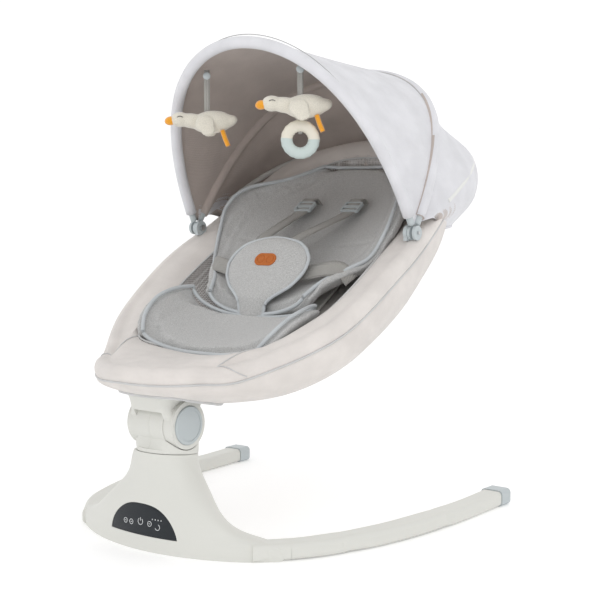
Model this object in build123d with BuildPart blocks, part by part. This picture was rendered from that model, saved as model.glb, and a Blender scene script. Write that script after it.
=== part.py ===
from build123d import *
from math import cos, pi, radians, sin
import os

os.makedirs("parts", exist_ok=True)

# ---------------------------------------------------------------- driving dimensions (mm)
# Origin on the floor under the swing column; +Y runs from the feet end to the head end.
COLUMN_TOP = 131.0          # height of the swing joint above the floor
COLUMN_R = 44.0             # column radius at the swing joint
SWING_LEAN = 6.0            # the swing axis leans back, so gravity centres the seat
SHELL = 2.6                 # wall of the moulded housings
SEAM = 0.8                  # gap between the column and the neck
LEG_W, LEG_H = 36.0, 23.0   # leg tube section
LEG_WALL = 2.0
LEG_LIFT = 1.0              # the leg tubes clear the floor by this much
KNUCKLE_Y, KNUCKLE_Z = -3.0, 173.0   # recline hinge
KNUCKLE_R = 34.0            # ear radius
BARREL_HALF = 26.0          # half width of the neck's barrel between the ears
EAR_OUT = 43.0              # outer face of the ears
BUTTON_R = 27.5
BUTTON_PROUD = 2.5
BUTTON_TRAVEL = 4.0
RING_R = 11.0               # seat ring tube radius
HINGE_X, HINGE_Y, HINGE_Z = 217.0, 306.0, 437.0   # canopy hinge
BOW_R = 4.5                 # canopy bow tube radius
FRONT_LEAN, MID_LEAN, REAR_LEAN = -27.7, 33.5, 63.0   # bow angles from vertical
FRONT_REACH, MID_REACH, REAR_REACH = 318.0, 309.0, 320.0
PANEL_T = 2.4               # canopy cloth with its lining
FIT = 0.3                   # clearance between faces that move past each other
RUN = 0.05                  # radial running clearance of the shafts

# half of the seat ring's centre line, foot end to head end (x, y, z)
RING_HALF = [(0, -85, 250), (46, -71, 248), (90, -35, 249), (127, 16, 253),
             (198, 122, 302), (217, 240, 376), (209, 340, 430), (190, 430, 486),
             (140, 502, 546), (0, 530, 574)]


def export(piece, name):
    piece.part.label = name
    export_step(piece.part, f"parts/{name}.step")


def mirrored(points):
    """A closed left-right symmetric loop of points from its +X half."""
    left = [(-x, y, z) for x, y, z in reversed(points[1:-1])]
    return points + left


def section_points(width, front, back, bend, count=20):
    """Housing outline: an oval whose two ends are bent back towards the legs."""
    middle, depth = (front + back) / 2, (back - front) / 2
    turns = [2 * pi * i / count for i in range(count)]
    return [(width * cos(t), middle + depth * sin(t) + bend * cos(t) ** 2) for t in turns]


SWING_PLANE = Plane(origin=(0, 0, COLUMN_TOP), x_dir=(1, 0, 0),
                    z_dir=(0, sin(radians(SWING_LEAN)), cos(radians(SWING_LEAN))))


def swing_at(height):
    """Plane square to the swing axis, a height above the swing joint."""
    return SWING_PLANE.offset(height)


# ================================================================ base
# Housing outline by height: (z, half width, front y, back y, bend of the ends)
HOUSING = [(0, 190, -57, 28, 40), (23, 178, -57, 28, 30), (36, 134, -57, 28, 8),
           (50, 112, -56, 29, 0), (72, 88, -53, 32, 0), (98, 62, -48, 37, 0),
           (COLUMN_TOP + 8, 43.4, -44, 43, 0)]


def housing_loft(inset, drop):
    with BuildPart() as body:
        for z, width, front, back, bend in HOUSING:
            outline = section_points(width - inset, front + inset, back - inset, bend)
            with BuildSketch(Plane.XY.offset(z - drop)):
                with BuildLine():
                    Spline(*outline, periodic=True)
                make_face()
        loft()
    return body.part


# Leg centre line: straight inside the housing, one long curve, straight in the end cap
LEG_ROOT, LEG_SEAM, CAP_SEAM, CAP_END = (152, 0), (187, 40), (270, 461), (270.5, 487)
LEG_STOP = (269.99, 460.8)
LEG_BEND = [(187.3, 40.4), (222, 103), (250, 190), (266, 300), LEG_STOP]
FLOOR_COVER_T = 3.0


def bar(side, points, width, height, lift):
    """A rounded bar swept along a stretch of the leg's centre line on one side."""
    line = [(side * x, y) for x, y in points]
    with BuildPart() as piece:
        with BuildLine(Plane.XY.offset(lift)) as path:
            if len(line) == 2:
                Line(*line)
            else:
                first = (side * (LEG_SEAM[0] - LEG_ROOT[0]), LEG_SEAM[1] - LEG_ROOT[1])
                last = (side * (CAP_END[0] - CAP_SEAM[0]), CAP_END[1] - CAP_SEAM[1])
                Spline(*line, tangents=[first, last])
        start = Plane(origin=path.line @ 0, x_dir=(0, 0, 1), z_dir=path.line % 0)
        with BuildSketch(start):
            with Locations((height / 2, 0)):
                RectangleRounded(height, width, min(7.0, height / 2 - 1))
        sweep()
    return piece.part


PANEL_W, PANEL_LOW, PANEL_HIGH = 63.0, 19.0, 66.0
PANEL_Y = -57.0


def panel_block(y_front, y_back, grow):
    """Arched block through the front wall, the shape of the control panel."""
    low, high, half = PANEL_LOW - grow, PANEL_HIGH + grow, PANEL_W + grow
    with BuildPart() as block:
        with BuildSketch(Plane(origin=(0, y_front, 0), x_dir=(1, 0, 0), z_dir=(0, -1, 0))):
            with BuildLine():
                Line((-half, low + 3), (half, low + 3))
                Spline((half, low + 3), (half * 0.86, low + 24), (half * 0.45, high - 4),
                       (0, high), (-half * 0.45, high - 4), (-half * 0.86, low + 24),
                       (-half, low + 3))
            make_face()
        extrude(amount=y_front - y_back)
    return block.part


FOOT_SPOTS = [(-120, -12), (120, -12), (-60, 10), (60, 10)]
FOOT_R, FOOT_T = 9.0, 2.0
SCREW_SPOTS = [(-95, -6), (95, -6), (-28, 8), (28, 8)]
SWING_SHAFT_R = 11.0

with BuildPart() as base_housing:
    add(housing_loft(0, 0))
    for side in (-1, 1):
        add(bar(side, [LEG_ROOT, LEG_SEAM], LEG_W, LEG_H, LEG_LIFT))
    split(bisect_by=SWING_PLANE, keep=Keep.BOTTOM)
    add(housing_loft(SHELL, 1.0), mode=Mode.SUBTRACT)
    for side in (-1, 1):
        add(bar(side, [(160, 9.1), (188, 41.1)], LEG_W - 2 * LEG_WALL, LEG_H - 2 * LEG_WALL,
                LEG_LIFT + LEG_WALL), mode=Mode.SUBTRACT)
    with BuildSketch(swing_at(0)):
        Circle(COLUMN_R - 1.2)
    extrude(amount=-6)
    with BuildSketch(swing_at(0)):
        Circle(SWING_SHAFT_R + 6.0)
    extrude(amount=-8, mode=Mode.SUBTRACT)
    add(panel_block(-70, -40, 0.25), mode=Mode.SUBTRACT)
    with BuildSketch(Plane.XZ.offset(-60)):
        with Locations((0, 22)):
            Circle(6.0)
    extrude(amount=45, mode=Mode.SUBTRACT)
export(base_housing, "base_housing")

# Bottom cover let into the housing, with its rubber feet and screws
with BuildPart() as base_cover:
    with BuildSketch(Plane.XY):
        with BuildLine():
            Spline(*section_points(150, -53.6, 24.6, 10), periodic=True)
        make_face()
    extrude(amount=FLOOR_COVER_T)
    with BuildSketch(Plane.XY):
        with Locations(*FOOT_SPOTS):
            Circle(FOOT_R)
    extrude(amount=FOOT_T, mode=Mode.SUBTRACT)
    with BuildSketch(Plane.XY):
        with Locations(*SCREW_SPOTS):
            Circle(3.2)
    extrude(amount=FLOOR_COVER_T, mode=Mode.SUBTRACT)
    add(base_housing.part, mode=Mode.SUBTRACT)
base_cover.part = Part(base_cover.solids().sort_by(SortBy.VOLUME)[-1].wrapped)
export(base_cover, "base_cover")

with BuildPart() as rubber_feet:
    with BuildSketch(Plane.XY):
        with Locations(*FOOT_SPOTS):
            Circle(FOOT_R - 0.1)
    extrude(amount=FOOT_T - 0.05)
export(rubber_feet, "rubber_feet")

with BuildPart() as cover_screws:
    with BuildSketch(Plane.XY.offset(0.6)):
        with Locations(*SCREW_SPOTS):
            Circle(3.1)
    extrude(amount=2.2)
    with BuildSketch(Plane.XY.offset(2.8)):
        with Locations(*SCREW_SPOTS):
            Circle(1.6)
    extrude(amount=9)
export(cover_screws, "cover_screws")

for side, name in ((-1, "left"), (1, "right")):
    with BuildPart() as leg:
        add(bar(side, LEG_BEND, LEG_W, LEG_H, LEG_LIFT))
        add(bar(side, LEG_BEND, LEG_W - 2 * LEG_WALL, LEG_H - 2 * LEG_WALL,
                LEG_LIFT + LEG_WALL), mode=Mode.SUBTRACT)
    export(leg, f"{name}_leg")

    with BuildPart() as leg_cap:
        add(bar(side, [CAP_SEAM, CAP_END], LEG_W + 3, LEG_H + 2.5, 0))
        add(bar(side, [CAP_SEAM, (270.4, 482)], LEG_W - 2, LEG_H - 2, 2),
            mode=Mode.SUBTRACT)
    export(leg_cap, f"{name}_leg_cap")

# Touch panel: a glossy plate that fills its window and follows the front wall
with BuildPart() as control_panel:
    add(panel_block(-70, -40, 0))
    add(housing_loft(0.4, 0), mode=Mode.INTERSECT)
    add(housing_loft(SHELL + 0.6, 0), mode=Mode.SUBTRACT)
export(control_panel, "control_panel")

BOARD_Y = -44.0
with BuildPart() as circuit_board:
    with BuildSketch(Plane(origin=(0, BOARD_Y, 0), x_dir=(1, 0, 0), z_dir=(0, -1, 0))):
        with Locations((0, 36)):
            Rectangle(96, 30)
    extrude(amount=-1.6)
    with BuildSketch(Plane(origin=(0, BOARD_Y + 1.6, 0), x_dir=(1, 0, 0), z_dir=(0, -1, 0))):
        with Locations((-30, 36), (0, 38), (28, 34)):
            Rectangle(14, 12)
    extrude(amount=-3)
export(circuit_board, "circuit_board")

with BuildPart() as speaker:
    with BuildSketch(Plane.XY.offset(5)):
        with Locations((-75, -14)):
            Circle(18)
    extrude(amount=6)
    with BuildSketch(Plane.XY.offset(11)):
        with Locations((-75, -14)):
            Circle(9)
    extrude(amount=8)
export(speaker, "speaker")

# Drive: a coil under the shaft pushes a magnet that hangs on the shaft's arm
with BuildPart() as drive_coil:
    with BuildSketch(Plane.XY.offset(5)):
        RectangleRounded(44, 26, 8)
    extrude(amount=18)
    with BuildSketch(Plane.XY.offset(5)):
        RectangleRounded(20, 8, 3)
    extrude(amount=18, mode=Mode.SUBTRACT)
export(drive_coil, "drive_coil")

SHAFT_BOTTOM = -82.0
BUSHES = (-8.0, -64.0)
BUSH_T = 7.0
with BuildPart() as shaft_bushes:
    for height in BUSHES:
        with BuildSketch(swing_at(height)):
            Circle(SWING_SHAFT_R + 6.0 - 0.1 if height == BUSHES[0] else 20)
            Circle(SWING_SHAFT_R + RUN, mode=Mode.SUBTRACT)
        extrude(amount=BUSH_T)
export(shaft_bushes, "shaft_bushes")

# The lower bush sits in a bridge that spans the column
with BuildPart() as bush_bridge:
    with BuildSketch(swing_at(BUSHES[1] - 3)):
        Rectangle(64, 48)
    extrude(amount=BUSH_T + 3)
    with BuildSketch(swing_at(BUSHES[1])):
        Circle(20.1)
    extrude(amount=BUSH_T, mode=Mode.SUBTRACT)
    with BuildSketch(swing_at(BUSHES[1] - 3)):
        Circle(SWING_SHAFT_R + 4)
    extrude(amount=3, mode=Mode.SUBTRACT)
export(bush_bridge, "bush_bridge")

with BuildPart() as dc_socket:
    with BuildSketch(Plane.XZ.offset(-29.5)):
        with Locations((0, 22)):
            Circle(5.8)
            Circle(2.8, mode=Mode.SUBTRACT)
    extrude(amount=11)
    with BuildSketch(Plane.XZ.offset(-19.5)):
        with Locations((0, 22)):
            Circle(5.8)
    extrude(amount=2)
export(dc_socket, "dc_socket")

# ================================================================ neck
with BuildPart() as swing_shaft:
    with BuildSketch(swing_at(SHAFT_BOTTOM)):
        Circle(SWING_SHAFT_R)
    extrude(amount=-SHAFT_BOTTOM + 14)
    with BuildSketch(swing_at(SHAFT_BOTTOM)):
        Circle(SWING_SHAFT_R - 3)
    extrude(amount=-SHAFT_BOTTOM + 14, mode=Mode.SUBTRACT)
export(swing_shaft, "swing_shaft")

with BuildPart() as drive_magnet:
    with BuildSketch(swing_at(SHAFT_BOTTOM - 12)):
        RectangleRounded(16, 5, 1)
    extrude(amount=11.5)
export(drive_magnet, "drive_magnet")


def knuckle_cylinder(radius, x_from, x_to):
    """Cylinder about the recline axis, between two X stations."""
    with BuildPart() as drum:
        with BuildSketch(Plane.YZ.offset(x_from)):
            with Locations((KNUCKLE_Y, KNUCKLE_Z)):
                Circle(radius)
        extrude(amount=x_to - x_from)
    return drum.part


PIN_R = 5.0


def neck_body(inset):
    """The neck tapers from the column's circle up into the barrel of the recline hinge."""
    with BuildPart() as body:
        with BuildSketch(swing_at(SEAM)):
            Circle(COLUMN_R - 0.4 - inset)
        with BuildSketch(Plane(origin=(0, KNUCKLE_Y + 2, KNUCKLE_Z - 22), z_dir=(0, 0, 1))):
            RectangleRounded(2 * EAR_OUT - 2 * inset, 66 - 2 * inset, 24)
        with BuildSketch(Plane(origin=(0, KNUCKLE_Y + 1, KNUCKLE_Z - 4), z_dir=(0, 0, 1))):
            RectangleRounded(2 * EAR_OUT - 4 - 2 * inset, 58 - 2 * inset, 24)
        loft()
    return body.part


for side, name in ((-1, "left"), (1, "right")):
    with BuildPart() as neck_half:
        add(neck_body(0))
        add(knuckle_cylinder(KNUCKLE_R + 1, -BARREL_HALF, BARREL_HALF))
        for ear in (-1, 1):
            add(knuckle_cylinder(KNUCKLE_R + 1.2, ear * (BARREL_HALF), ear * 80),
                mode=Mode.SUBTRACT)
        add(neck_body(3.5), mode=Mode.SUBTRACT)
        add(knuckle_cylinder(KNUCKLE_R - 4, -BARREL_HALF + 3.5, BARREL_HALF - 3.5),
            mode=Mode.SUBTRACT)
        with BuildSketch(swing_at(SEAM)):
            Circle(COLUMN_R - 1)
            Circle(SWING_SHAFT_R + 0.1, mode=Mode.SUBTRACT)
        extrude(amount=5)
        add(knuckle_cylinder(PIN_R + 4, -BARREL_HALF, BARREL_HALF))
        add(knuckle_cylinder(PIN_R + RUN, -BARREL_HALF - 1, BARREL_HALF + 1),
            mode=Mode.SUBTRACT)
        with BuildSketch(Plane.YZ.offset(side * 0.1)):
            with Locations((0, 160)):
                Rectangle(200, 200)
        extrude(amount=side * 100, mode=Mode.INTERSECT)
    export(neck_half, f"neck_shell_{name}")

# ================================================================ recline hinge and buttons
with BuildPart() as hinge_pin:
    add(knuckle_cylinder(PIN_R, -EAR_OUT + 10, EAR_OUT - 10))
export(hinge_pin, "hinge_pin")

BRIDGE_Z = 214.0
EAR_IN = BARREL_HALF + FIT
POCKET_FLOOR = EAR_OUT - BUTTON_TRAVEL - 4.5
with BuildPart() as seat_bracket:
    for ear in (-1, 1):
        add(knuckle_cylinder(KNUCKLE_R, ear * EAR_IN, ear * EAR_OUT))
    with BuildSketch(Plane(origin=(0, KNUCKLE_Y, KNUCKLE_Z + 10), z_dir=(0, 0, 1))):
        RectangleRounded(2 * EAR_OUT, 64, 10)
    with BuildSketch(Plane(origin=(0, KNUCKLE_Y + 2, BRIDGE_Z - 8),
                           z_dir=(0, 0.10, 1))):
        RectangleRounded(2 * EAR_OUT + 6, 76, 16)
    with BuildSketch(Plane(origin=(0, KNUCKLE_Y + 8, BRIDGE_Z + 2),
                           z_dir=(0, 0.16, 1))):
        RectangleRounded(2 * EAR_OUT + 26, 100, 26)
    loft()
    add(knuckle_cylinder(KNUCKLE_R + 1 + FIT, -EAR_IN, EAR_IN), mode=Mode.SUBTRACT)
    with BuildSketch(Plane.YZ.offset(-EAR_IN)):
        with Locations((KNUCKLE_Y, KNUCKLE_Z - 8)):
            Rectangle(90, 58)
    extrude(amount=2 * EAR_IN, mode=Mode.SUBTRACT)
    for ear in (-1, 1):
        add(knuckle_cylinder(BUTTON_R + FIT, ear * POCKET_FLOOR, ear * 60), mode=Mode.SUBTRACT)
    add(knuckle_cylinder(PIN_R + 0.02, -EAR_OUT + 10, EAR_OUT - 10), mode=Mode.SUBTRACT)
export(seat_bracket, "seat_bracket")

for side, name in ((-1, "left"), (1, "right")):
    face = EAR_OUT + BUTTON_PROUD
    with BuildPart() as button:
        add(knuckle_cylinder(BUTTON_R, side * (POCKET_FLOOR + BUTTON_TRAVEL + 0.3), side * face))
        chamfer(button.edges().filter_by(GeomType.CIRCLE).group_by(Axis.X)[1 if side > 0 else 0],
                length=1.2)
        add(knuckle_cylinder(BUTTON_R - 5, side * (face - 0.8), side * (face + 1)),
            mode=Mode.SUBTRACT)
    export(button, f"recline_button_{name}")

    with BuildPart() as button_spring:
        low = side * (POCKET_FLOOR + 0.1)
        add(knuckle_cylinder(9, low, side * (POCKET_FLOOR + BUTTON_TRAVEL + 0.2)))
        add(knuckle_cylinder(7.5, low, side * (POCKET_FLOOR + 6)), mode=Mode.SUBTRACT)
    export(button_spring, f"button_spring_{name}")

# ================================================================ seat frame
# The ring is two bent half tubes, plugged together at the feet and head ends
RING_GAP = 0.001            # share of the whole loop left open at each joint
ring_half_line = Spline(*mirrored(RING_HALF), periodic=True).trim(RING_GAP, 0.5 - RING_GAP)
with BuildPart() as seat_ring_right:
    with BuildLine() as ring_path:
        add(ring_half_line)
    for radius, mode in ((RING_R, Mode.ADD), (RING_R - 1.6, Mode.SUBTRACT)):
        with BuildSketch(Plane(origin=ring_half_line @ 0, z_dir=ring_half_line % 0)):
            Circle(radius)
        sweep(path=ring_path.wire(), mode=mode)
export(seat_ring_right, "seat_ring_right")
with BuildPart() as seat_ring_left:
    mirror(seat_ring_right.part, about=Plane.YZ)
export(seat_ring_left, "seat_ring_left")
with BuildPart() as ring_plugs:
    for _, y, z in (RING_HALF[0], RING_HALF[-1]):
        with BuildSketch(Plane(origin=(-9, y, z), x_dir=(0, 1, 0), z_dir=(1, 0, 0))):
            Circle(RING_R - 2.8)
        extrude(amount=18)
export(ring_plugs, "ring_plugs")

# Two bent tubes carry the ring on the bracket
ARM_R = 7.0
for side, name in ((-1, "left"), (1, "right")):
    route = [(side * 30, 4, 227), (side * 92, 60, 236), (side * 150, 112, 262),
             (side * 176, 140, 290)]
    with BuildPart() as ring_arm:
        with BuildLine() as arm_path:
            FilletPolyline(*route, radius=34)
        for radius, mode in ((ARM_R, Mode.ADD), (ARM_R - 1.5, Mode.SUBTRACT)):
            with BuildSketch(Plane(origin=arm_path.line @ 0, z_dir=arm_path.line % 0)):
                Circle(radius)
            sweep(path=arm_path.wire(), mode=mode)
    export(ring_arm, f"ring_arm_{name}")

# Stiff board under the cushions, bent from one sheet
BOARD_LINE = [(82, 236), (175, 268), (300, 345), (405, 412), (455, 462)]
with BuildPart() as seat_board:
    with BuildSketch(Plane.YZ.offset(-80)):
        with BuildLine():
            Polyline(*BOARD_LINE, *[(y - 2, z + 4) for y, z in reversed(BOARD_LINE)],
                     BOARD_LINE[0])
        make_face()
    extrude(amount=160)
export(seat_board, "seat_board")

# ================================================================ seat cover and cushions
# Stations from feet to head: (y, half width, rim z, bottom z)
TUB = [(-66, 36, 235, 230), (-30, 84, 234, 218), (30, 128, 240, 202), (110, 182, 279, 191),
       (200, 206, 338, 210), (300, 207, 389, 262), (400, 191, 446, 334), (470, 155, 500, 410),
       (505, 112, 532, 468)]
TUB_T, TUB_POWER = 5.0, 0.75
SEAT_PAD = [(72, 110, 280, 252), (100, 122, 302, 256), (140, 132, 320, 266),
            (174, 126, 330, 284)]
BACK_PAD = [(196, 120, 344, 304), (250, 140, 388, 332), (310, 163, 440, 370),
            (367, 152, 498, 408), (430, 112, 518, 452), (474, 84, 542, 502)]
PAD_T, PAD_POWER = 18.0, 0.9


def trough(stations, thickness, power, count=13):
    """A loft of U-shaped sections, one in each XZ station plane."""
    with BuildPart() as body:
        for y, half, rim, low in stations:
            turns = [pi * i / (count - 1) for i in range(count)]
            outer = [(-half * cos(t), rim - (rim - low) * sin(t) ** power) for t in turns]
            inner = [(-(half - thickness) * cos(t),
                      rim - (rim - low - thickness) * sin(t) ** power) for t in turns]
            with BuildSketch(Plane.XZ.offset(-y)):
                with BuildLine():
                    Spline(*outer)
                    Line(outer[-1], inner[-1])
                    Spline(*reversed(inner))
                    Line(inner[0], outer[0])
                make_face()
        loft()
    return body.part


# The sewn cover hangs under the ring and is cut out over the bracket
with BuildPart() as seat_cover:
    add(trough(TUB, TUB_T, TUB_POWER))
    with BuildSketch(Plane.XY.offset(150)):
        with Locations((0, 8)):
            RectangleRounded(128, 122, 30)
    extrude(amount=95, mode=Mode.SUBTRACT)
export(seat_cover, "seat_cover")

with BuildPart() as seat_pad:
    add(trough(SEAT_PAD, PAD_T, PAD_POWER))
export(seat_pad, "seat_pad")

with BuildPart() as back_pad:
    add(trough(BACK_PAD, PAD_T, PAD_POWER))
export(back_pad, "back_pad")

# ================================================================ harness
SHIELD_PLANE = Plane(origin=(0, 220, 381), x_dir=(1, 0, 0), z_dir=(0, -0.81, 0.587))
SHIELD_HALF_W, SHIELD_HALF_H, SHIELD_T = 76.0, 57.0, 9.0
with BuildPart() as crotch_shield:
    with BuildSketch(SHIELD_PLANE):
        Ellipse(SHIELD_HALF_W, SHIELD_HALF_H)
    extrude(amount=-SHIELD_T)
export(crotch_shield, "crotch_shield")

with BuildPart() as leather_badge:
    with BuildSketch(SHIELD_PLANE.offset(0.1)):
        with Locations((-9, 16), (9, 16)):
            Circle(12)
    extrude(amount=1.5)
export(leather_badge, "leather_badge")

with BuildPart() as crotch_strap:
    with BuildSketch(Plane.XZ.offset(-179)):
        with Locations((0, 308)):
            Rectangle(50, 48)
    extrude(amount=-6)
export(crotch_strap, "crotch_strap")

BUCKLE_PLANE = SHIELD_PLANE.offset(-SHIELD_T - 3)
with BuildPart() as buckle:
    with BuildSketch(BUCKLE_PLANE):
        with Locations((0, -10)):
            RectangleRounded(46, 52, 9)
    extrude(amount=-14)
    with BuildSketch(BUCKLE_PLANE):
        with Locations((0, -10)):
            Circle(9.3)
    extrude(amount=-9, mode=Mode.SUBTRACT)
export(buckle, "buckle")

BUCKLE_TRAVEL = 3.0
with BuildPart() as buckle_button:
    with BuildSketch(BUCKLE_PLANE.offset(1)):
        with Locations((0, -10)):
            Circle(9)
    extrude(amount=-6)
export(buckle_button, "buckle_button")

WEB_W, WEB_T = 25.0, 1.6
for side, name in ((-1, "left"), (1, "right")):
    with BuildPart() as waist_strap:
        with BuildSketch(Plane.YZ.offset(side * 26)):
            with Locations((246, 372)):
                Rectangle(WEB_T, WEB_W)
        with BuildSketch(Plane.YZ.offset(side * 106)):
            with Locations((238, 384)):
                Rectangle(WEB_T, WEB_W)
        loft()
    export(waist_strap, f"waist_strap_{name}")

    route = [(side * 48, 404, 484), (side * 47, 372, 462), (side * 34, 268, 428)]
    with BuildPart() as shoulder_strap:
        with BuildLine() as strap_path:
            FilletPolyline(*route, radius=60)
        with BuildSketch(Plane(origin=route[0], x_dir=(1, 0, 0), z_dir=strap_path.line % 0)):
            Rectangle(WEB_W, WEB_T)
        sweep()
    export(shoulder_strap, f"shoulder_strap_{name}")

    slide_plane = Plane(origin=(side * 47.5, 388, 473), x_dir=(1, 0, 0), z_dir=(0, -0.57, 0.82))
    with BuildPart() as strap_slide:
        with BuildSketch(slide_plane.offset(-2.5)):
            RectangleRounded(34, 24, 3)
            with Locations((0, 6), (0, -6)):
                Rectangle(26.5, 6, mode=Mode.SUBTRACT)
        extrude(amount=5)
    export(strap_slide, f"strap_slide_{name}")

# ================================================================ canopy
FRONT_FORM, MID_FORM, REAR_FORM = (217, 0.10, 1.0), (217, 0.25, 1.0), (221, 0.32, 0.62)


def bow_points(form, reach, grow=0.0, start=0.0, count=17):
    """Half oval of a bow in its own plane: (half width, bulge, shoulder power)."""
    half, bulge, power = form
    turns = [start + (pi - 2 * start) * i / (count - 1) for i in range(count)]
    return [(-(half + grow) * cos(t) * (1 + bulge * sin(t) ** 2),
             (reach + grow) * sin(t) ** power) for t in turns]


def bow_plane(lean):
    """Plane through the canopy hinge axis, leaning back from vertical."""
    a = radians(lean)
    return Plane(origin=(0, HINGE_Y, HINGE_Z), x_dir=(1, 0, 0), z_dir=(0, -cos(a), sin(a)))


def bow_tube(lean, form, reach, radius, bore, start=0.075):
    with BuildPart() as tube:
        with BuildLine(bow_plane(lean)) as path:
            Spline(*bow_points(form, reach, start=start))
        for size, mode in ((radius, Mode.ADD), (bore, Mode.SUBTRACT)):
            with BuildSketch(Plane(origin=path.line @ 0, z_dir=path.line % 0)):
                Circle(size)
            sweep(path=path.wire(), mode=mode)
    return tube.part


def panel(rows, start):
    """Cloth between bows: a loft of thin crescents in planes through the hinge axis."""
    with BuildPart() as cloth:
        for lean, form, reach in rows:
            outer = bow_points(form, reach, PANEL_T / 2, start)
            inner = bow_points(form, reach, -PANEL_T / 2, start)
            with BuildSketch(bow_plane(lean)):
                with BuildLine():
                    Spline(*outer)
                    Line(outer[-1], inner[-1])
                    Spline(*reversed(inner))
                    Line(inner[0], outer[0])
                make_face()
        loft(ruled=True)
    return cloth.part


HEM_R = 8.0
OVER_HEM = HEM_R + PANEL_T / 2 + 0.5    # the cloth lies over the hem and over the bows
OVER_BOW = BOW_R + PANEL_T / 2 + 0.5
with BuildPart() as front_bow:
    add(bow_tube(FRONT_LEAN, FRONT_FORM, FRONT_REACH, BOW_R, BOW_R - 1.2))
export(front_bow, "front_bow")
with BuildPart() as front_hem:
    add(bow_tube(FRONT_LEAN, FRONT_FORM, FRONT_REACH, HEM_R, BOW_R + 0.4, 0.14))
export(front_hem, "front_hem")
with BuildPart() as mid_bow:
    add(bow_tube(MID_LEAN, MID_FORM, MID_REACH, BOW_R, BOW_R - 1.2))
export(mid_bow, "mid_bow")
with BuildPart() as rear_bow:
    add(bow_tube(REAR_LEAN, REAR_FORM, REAR_REACH, BOW_R, BOW_R - 1.2, 0.16))
export(rear_bow, "rear_bow")

with BuildPart() as canopy_front:
    add(panel([(FRONT_LEAN, (217 + OVER_HEM, 0.10, 1.0), FRONT_REACH + OVER_HEM),
               (MID_LEAN - 0.4, (217 + OVER_BOW, 0.25, 1.0), MID_REACH + OVER_BOW)], 0.16))
export(canopy_front, "canopy_front")
with BuildPart() as canopy_rear:
    add(panel([(MID_LEAN + 0.4, (217 + OVER_BOW, 0.25, 1.0), MID_REACH + OVER_BOW),
               (REAR_LEAN, (230, 0.34, 0.62), 330), (76, (232, 0.34, 0.5), 318)], 0.16))
export(canopy_rear, "canopy_rear")

# Hinge on each side: fixed boss on the ring, one hub per moving bow, a screw through all
HUB_R = 12.0
SIDES = (-1, 1)


def hub(side, x_in, x_out, radius, bore=0.0):
    """A disc on the canopy hinge axis, with a bore if one is given."""
    with BuildPart() as disc:
        with BuildSketch(Plane.YZ.offset(side * x_in)):
            with Locations((HINGE_Y, HINGE_Z)):
                Circle(radius)
                if bore:
                    Circle(bore, mode=Mode.SUBTRACT)
        extrude(amount=side * (x_out - x_in))
    return disc.part


with BuildPart() as canopy_bosses:
    for side in SIDES:
        add(hub(side, 205, 211, HUB_R, 2.5))
        with BuildSketch(Plane.YZ.offset(side * 205)):
            with Locations((HINGE_Y - 5.5, HINGE_Z - 6)):
                Rectangle(9, 12)
        extrude(amount=side * 6)
        add(hub(side, 205, 211, 2.5), mode=Mode.SUBTRACT)
export(canopy_bosses, "canopy_bosses")

with BuildPart() as front_bow_hubs:
    for side in SIDES:
        add(hub(side, 211.4, 215.4, HUB_R - 1, 2.5))
export(front_bow_hubs, "front_bow_hubs")
with BuildPart() as mid_bow_hubs:
    for side in SIDES:
        add(hub(side, 220.2, 224.2, HUB_R - 1, 2.5))
export(mid_bow_hubs, "mid_bow_hubs")

with BuildPart() as hinge_screws:
    for side in SIDES:
        add(hub(side, 203, 227, 2.45))
        add(hub(side, 201, 203, 5))
export(hinge_screws, "hinge_screws")

# ================================================================ hanging toys
STRAP_TOP_Y, STRAP_TOP_Z = 192.0, 686.0
STRAP_W, STRAP_T = 8.0, 1.2
GOOSE_TURN = 37.0           # the geese hang with their beaks turned this far from -X
# Radius along the goose, from tail to beak
GOOSE_PROFILE = [(-44, 5), (-30, 14), (-6, 17), (22, 14), (36, 11.5), (48, 13), (58, 9), (72, 3)]
# side, strap length, strap foot above the goose's centre
TOYS = {"left": (-1, 66.0, 16.0), "right": (1, 48.0, 16.0)}
RING_DROP, TEETHER_R, TEETHER_BORE = 46.0, 29.0, 11.0

for name, (side, strap, rise) in TOYS.items():
    foot_z = STRAP_TOP_Z - strap
    with BuildPart() as toy_strap:
        with BuildSketch(Plane(origin=(side * 91, STRAP_TOP_Y, foot_z), z_dir=(0, 0, 1))):
            Rectangle(STRAP_W, STRAP_T)
        extrude(amount=strap)
        with BuildSketch(Plane(origin=(side * 91, STRAP_TOP_Y, STRAP_TOP_Z - 14),
                               z_dir=(0, 0, 1))):
            RectangleRounded(13, 6, 2)
        extrude(amount=9)
    export(toy_strap, f"toy_strap_{name}")

    a = radians(GOOSE_TURN)
    along = (-cos(a), -sin(a), 0)
    middle = Vector(side * 91, STRAP_TOP_Y, foot_z - rise - 0.4)
    body_plane = Plane(origin=middle, x_dir=along, z_dir=(0, 0, 1))
    with BuildPart() as goose:
        with BuildSketch(body_plane):
            with BuildLine():
                Spline(*GOOSE_PROFILE)
                Polyline(GOOSE_PROFILE[-1], (GOOSE_PROFILE[-1][0], 0),
                         (GOOSE_PROFILE[0][0], 0), GOOSE_PROFILE[0])
            make_face()
        revolve(axis=Axis(middle, along))
        for leg in (-5, 5):
            with BuildSketch(body_plane.offset(-12)):
                with Locations((-26, leg)):
                    Circle(3.2)
            extrude(amount=-16)
    export(goose, f"goose_{name}")

right_side, right_strap, right_rise = TOYS["right"]
ring_centre = Vector(91, STRAP_TOP_Y, STRAP_TOP_Z - right_strap - right_rise - RING_DROP - 1)
with BuildPart() as teether_ring:
    a = radians(GOOSE_TURN)
    face = Plane(origin=ring_centre, x_dir=(-cos(a), -sin(a), 0), z_dir=(sin(a), -cos(a), 0))
    with BuildSketch(face):
        Circle(TEETHER_R)
        Circle(TEETHER_BORE, mode=Mode.SUBTRACT)
    extrude(amount=7.5, both=True)
    fillet(teether_ring.edges().filter_by(GeomType.CIRCLE), radius=5)
export(teether_ring, "teether_ring")
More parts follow.
